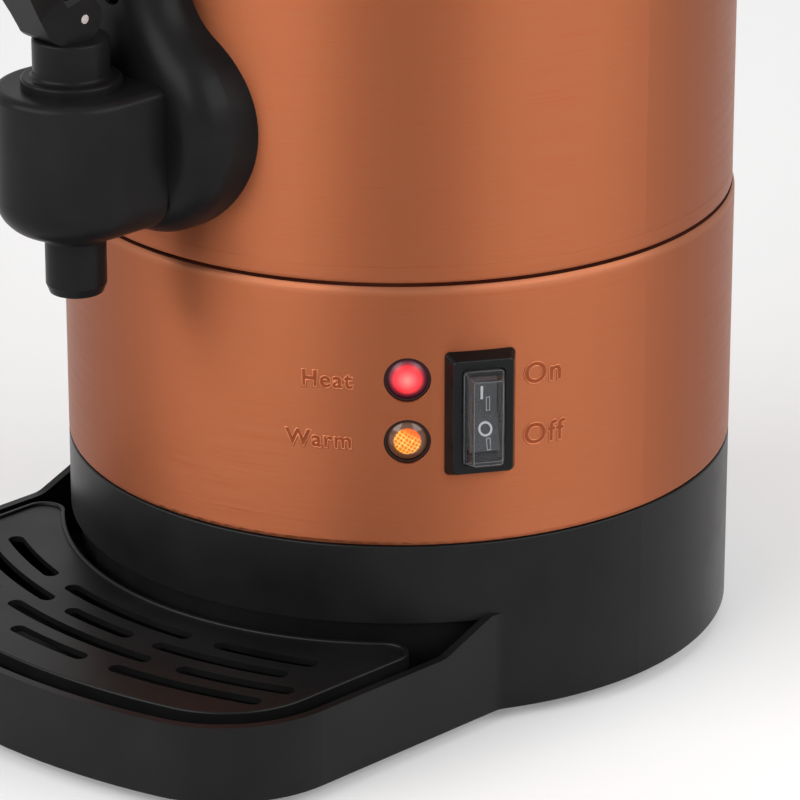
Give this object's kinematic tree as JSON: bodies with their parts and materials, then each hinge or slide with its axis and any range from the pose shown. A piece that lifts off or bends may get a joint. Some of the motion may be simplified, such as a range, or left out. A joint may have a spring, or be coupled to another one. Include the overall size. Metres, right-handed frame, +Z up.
{
  "type": "hot water urn",
  "caption": "Upright double-walled hot water urn with a lever tap, sight gauge, side handles, lid, lit switch panel and a moulded base with a slotted drip tray.",
  "frame": {"origin": "on the counter, at the middle of the whole footprint (handles, tray bay and mains inlet included)", "axes": "+Z up, front with the tap and tray towards -Y, +X to the right seen from the front"},
  "size_m": [0.3144, 0.3084, 0.4843],
  "materials": {
    "black_plastic": "satin moulded",
    "dark_plastic": "glossy moulded",
    "copper_steel": "copper-coloured, brushed round",
    "stainless_steel": "brushed",
    "zinc_steel": "zinc plated",
    "aluminium": "mill",
    "element_steel": "heat-darkened",
    "rubber": "matte",
    "silicone": "matte",
    "nylon": "matte",
    "phenolic": "matte",
    "sight_glass": "clear",
    "clear_cover": "clear, glossy",
    "red_lens": "lit, translucent",
    "amber_lens": "lit, translucent"
  },
  "bodies": {
    "urn": {"base_housing": "black_plastic", "bottom_cover": "black_plastic", "cover_screws": "zinc_steel", "foot_front_right": "rubber", "foot_rear_right": "rubber", "foot_rear_left": "rubber", "foot_front_left": "rubber", "control_band": "copper_steel", "upper_shell": "copper_steel", "inner_tank": "stainless_steel", "top_ring": "black_plastic", "handle_right": "black_plastic", "handle_left": "black_plastic", "handle_screws": "zinc_steel", "gauge_housing": "black_plastic", "gauge_screw": "zinc_steel", "gauge_elbow": "black_plastic", "gauge_coupling": "silicone", "sight_tube": "sight_glass", "gauge_cap": "black_plastic", "tap_body": "black_plastic", "tap_washer_outer": "silicone", "tap_spacer": "nylon", "tap_washer_inner": "silicone", "tap_nut": "stainless_steel", "tap_bonnet": "black_plastic", "tap_spring": "stainless_steel", "heating_plate": "aluminium", "heating_element": "element_steel", "boil_thermostat": "phenolic", "keep_warm_thermostat": "phenolic", "thermal_cutout": "phenolic", "tie_studs": "zinc_steel", "stud_spacers": "zinc_steel", "heat_shield": "aluminium", "stud_nuts": "zinc_steel", "switch_body": "dark_plastic", "switch_frame": "black_plastic", "switch_cover": "clear_cover", "heating_lamp_holder": "dark_plastic", "heating_lamp_lens": "red_lens", "warm_lamp_holder": "dark_plastic", "warm_lamp_lens": "amber_lens", "power_inlet": "black_plastic", "inlet_screws": "zinc_steel", "terminal_block": "nylon"},
    "lid": {"lid_shell": "copper_steel", "lid_liner": "stainless_steel", "lid_seal": "silicone", "knob_base": "black_plastic", "lid_knob": "black_plastic", "knob_screw": "zinc_steel"},
    "drip_pan": {"drip_pan": "black_plastic"},
    "drip_grille": {"drip_grille": "black_plastic"},
    "rocker": {"switch_rocker": "dark_plastic"},
    "tap_valve": {"tap_stem": "stainless_steel", "tap_seat_cup": "silicone", "lever_pin": "stainless_steel"},
    "tap_lever": {"tap_lever": "black_plastic"}
  },
  "joints": [
    {"name": "lid_lift", "type": "slide", "parent": "urn", "child": "lid", "axis": [0, 0, 1], "range_m": [0, 0.06]},
    {"name": "pan_lift", "type": "slide", "parent": "urn", "child": "drip_pan", "axis": [0, 0, 1], "range_m": [0, 0.04]},
    {"name": "grille_lift", "type": "slide", "parent": "drip_pan", "child": "drip_grille", "axis": [0, 0, 1], "range_m": [0, 0.03]},
    {"name": "rocker_tilt", "type": "hinge", "parent": "urn", "child": "rocker", "pos_m": [0.09665, -0.02394, 0.1126], "axis": [0.5255, 0.8508, 0], "range_deg": [0, 20]},
    {"name": "tap_lift", "type": "slide", "parent": "urn", "child": "tap_valve", "axis": [0, 0, 1], "range_m": [0, 0.006], "deforming": ["tap_spring"]},
    {"name": "lever_tilt", "type": "hinge", "parent": "tap_valve", "child": "tap_lever", "pos_m": [0, -0.11175, 0.245], "axis": [1, 0, 0], "range_deg": [0, 45], "stiffness_Nm_per_rad": 0.3, "springref_deg": -11.46}
  ],
  "couplings": [
    {"joint": "tap_lift", "follows": "lever_tilt", "m_per_rad": 0.007639}
  ]
}
